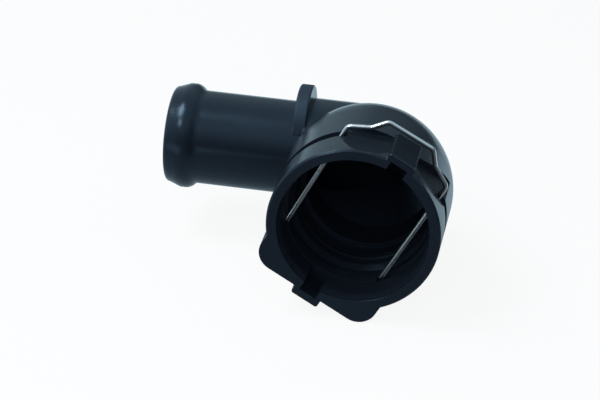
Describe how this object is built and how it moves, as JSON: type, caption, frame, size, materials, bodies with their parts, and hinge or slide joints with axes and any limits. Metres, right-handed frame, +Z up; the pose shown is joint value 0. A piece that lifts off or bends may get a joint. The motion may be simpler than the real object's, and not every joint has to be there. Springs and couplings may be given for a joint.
{
  "type": "coolant flange",
  "caption": "Moulded right-angle coolant connector: round clip-in socket with key slots, domed elbow, beaded hose stub, wire retaining clip and rubber seal.",
  "frame": {"origin": "centre of the socket's mouth", "axes": "-Y out of the socket's mouth, -X out of the hose stub, +Z up"},
  "size_m": [0.1, 0.0769, 0.0655],
  "materials": {
    "moulded_plastic": "satin blue-black glass-filled moulding",
    "spring_wire": "bright drawn spring wire",
    "seal_rubber": "smooth dark rubber"
  },
  "bodies": {
    "housing": {"connector_body": "moulded_plastic", "seal_ring": "seal_rubber"},
    "clip": {"retaining_clip": "spring_wire"}
  },
  "joints": [
    {"name": "clip_release", "type": "slide", "parent": "housing", "child": "clip", "axis": [0.4586, 0, 0.8886], "range_m": [0, 0.0065]}
  ]
}
